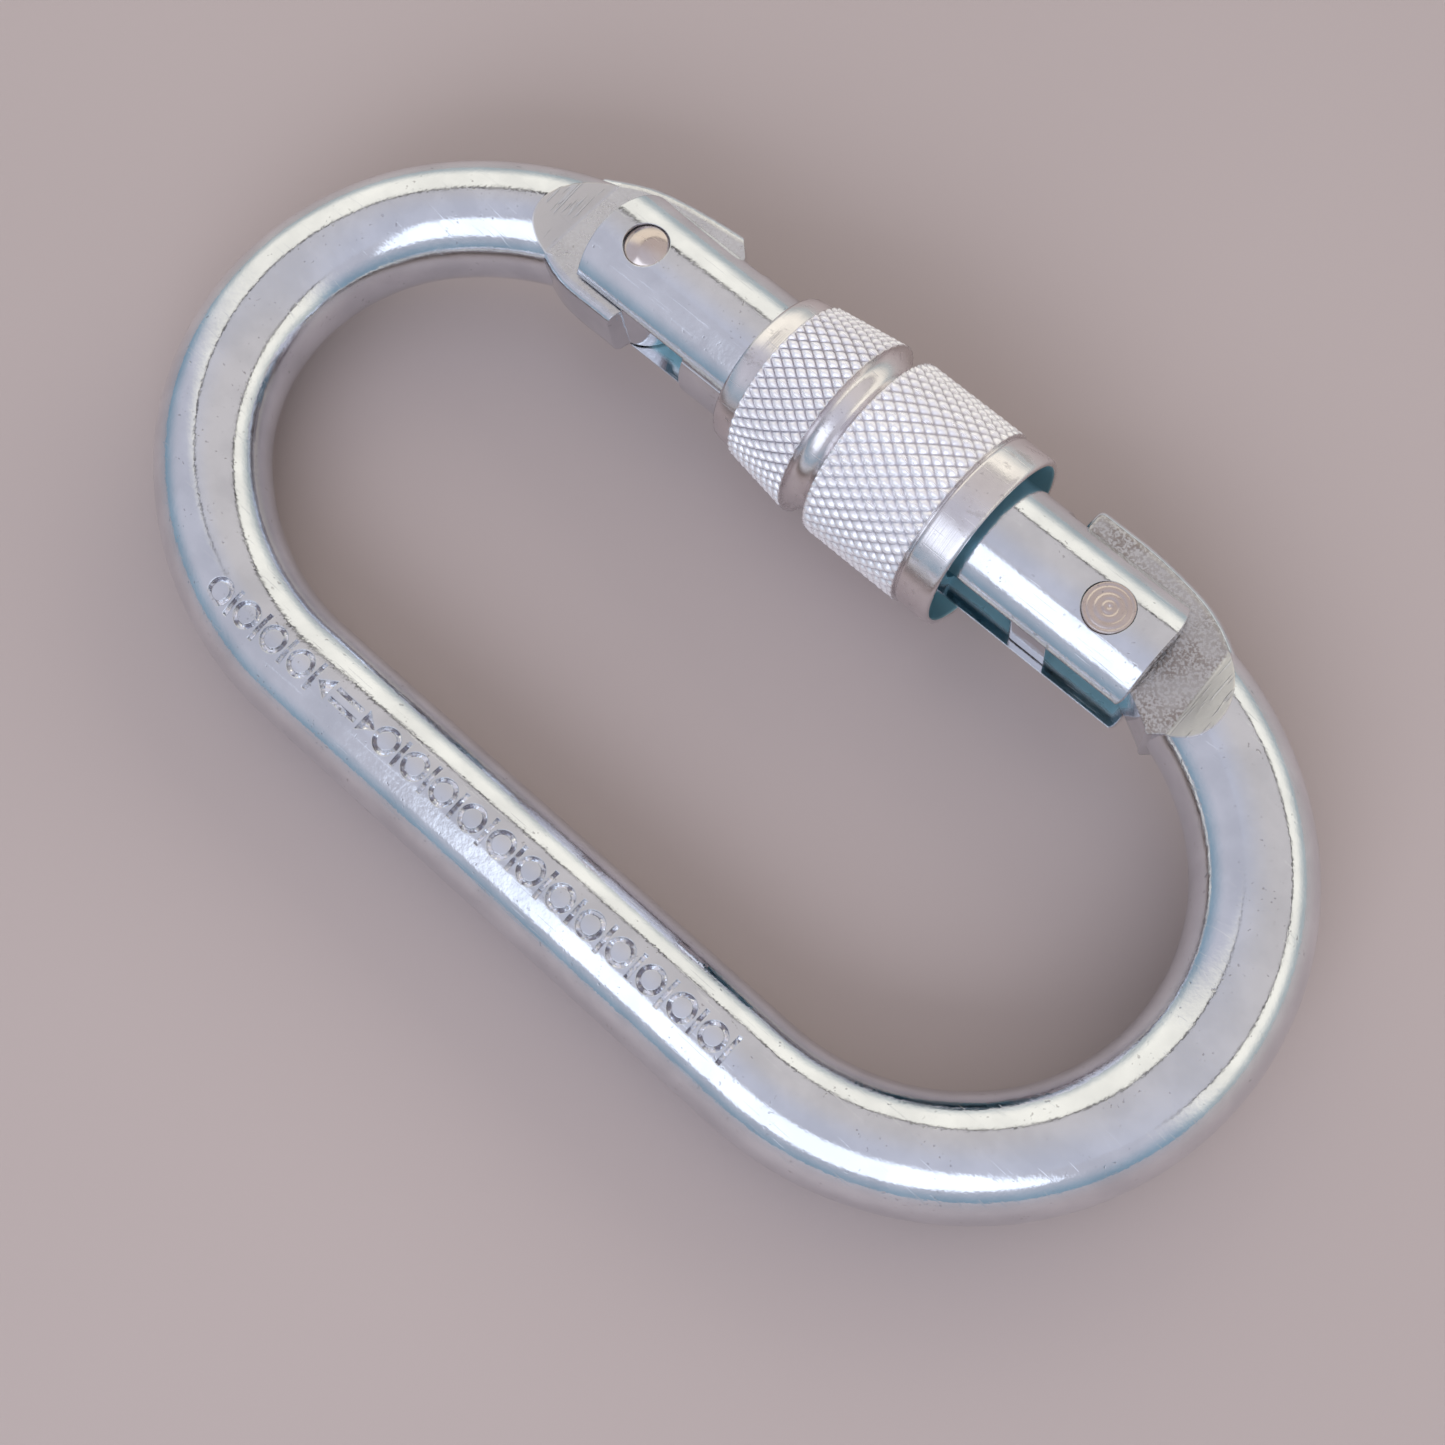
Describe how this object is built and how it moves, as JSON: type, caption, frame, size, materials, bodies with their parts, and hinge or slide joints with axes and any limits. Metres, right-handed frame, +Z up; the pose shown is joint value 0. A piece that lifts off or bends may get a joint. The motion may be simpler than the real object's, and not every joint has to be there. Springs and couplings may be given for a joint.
{
  "type": "locking carabiner",
  "caption": "Oval steel carabiner with a spring-closed hinged gate and a knurled screw sleeve that slides over the nose to lock it.",
  "frame": {"origin": "centre of the bounding box, on the oval's mid plane", "axes": "+X along the oval from the gate's hinge to its nose, +Y from the spine towards the gate, +Z up from the face the carabiner lies on"},
  "size_m": [0.11, 0.0588, 0.0172],
  "materials": {
    "frame_steel": "bright zinc plating over bent round bar, faintly blue, fine grain on the pressed flats",
    "gate_steel": "bright zinc plating over rolled tube",
    "sleeve_steel": "bright zinc plating over turned and knurled steel",
    "rivet_steel": "spun rivet ends with fine rings",
    "plunger_steel": "plain turned steel",
    "spring_steel": "drawn spring wire"
  },
  "bodies": {
    "frame": {"frame": "frame_steel"},
    "gate": {"gate": "gate_steel", "hinge_rivet": "rivet_steel", "latch_rivet": "rivet_steel", "gate_spring": "spring_steel"},
    "sleeve": {"locking_sleeve": "sleeve_steel"},
    "plunger": {"spring_plunger": "plunger_steel"}
  },
  "joints": [
    {"name": "gate_hinge", "type": "hinge", "parent": "frame", "child": "gate", "pos_m": [-0.0262, 0.02077, 0], "axis": [0, 0, -1], "range_deg": [0, 38], "stiffness_Nm_per_rad": 0.3, "springref_deg": -57.3},
    {"name": "sleeve_travel", "type": "slide", "parent": "gate", "child": "sleeve", "axis": [1, 0, 0], "range_m": [0, 0.0094]},
    {"name": "plunger_slide", "type": "slide", "parent": "gate", "child": "plunger", "axis": [1, 0, 0], "range_m": [0, 0.0007], "deforming": ["gate_spring"]}
  ],
  "couplings": [
    {"joint": "plunger_slide", "follows": "gate_hinge", "m_per_rad": 0.001}
  ]
}
